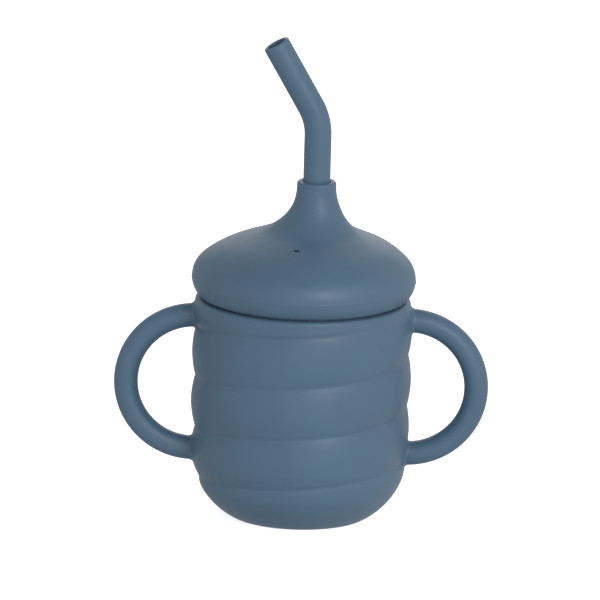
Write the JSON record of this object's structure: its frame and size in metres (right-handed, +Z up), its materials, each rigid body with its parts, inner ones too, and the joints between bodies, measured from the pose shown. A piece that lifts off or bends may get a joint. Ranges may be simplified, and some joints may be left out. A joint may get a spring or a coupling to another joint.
{
  "type": "sippy cup",
  "caption": "Soft silicone training cup with ring handles, a domed lid with an off-centre neck, and a bent drinking straw.",
  "frame": {"origin": "centre of the foot, on the surface that the cup stands on", "axes": "+Z up along the cup's axis, +X along the line of the two handles on the side that the lid's neck is shifted to, -Y the front with the air vent"},
  "size_m": [0.1194, 0.0716, 0.156],
  "materials": {
    "cup_silicone": "matte, silky moulded silicone",
    "lid_silicone": "matte, silky moulded silicone",
    "straw_silicone": "matte, silky moulded silicone"
  },
  "bodies": {
    "cup": {"cup": "cup_silicone"},
    "lid": {"lid": "lid_silicone"},
    "straw": {"straw": "straw_silicone"}
  },
  "joints": [
    {"name": "lid_lift", "type": "slide", "parent": "cup", "child": "lid", "axis": [0, 0, 1], "range_m": [0, 0.09]},
    {"name": "straw_swivel", "type": "hinge", "parent": "lid", "child": "straw", "pos_m": [0.0033, 0, 0.1], "axis": [0, 0, 1], "continuous": true}
  ]
}
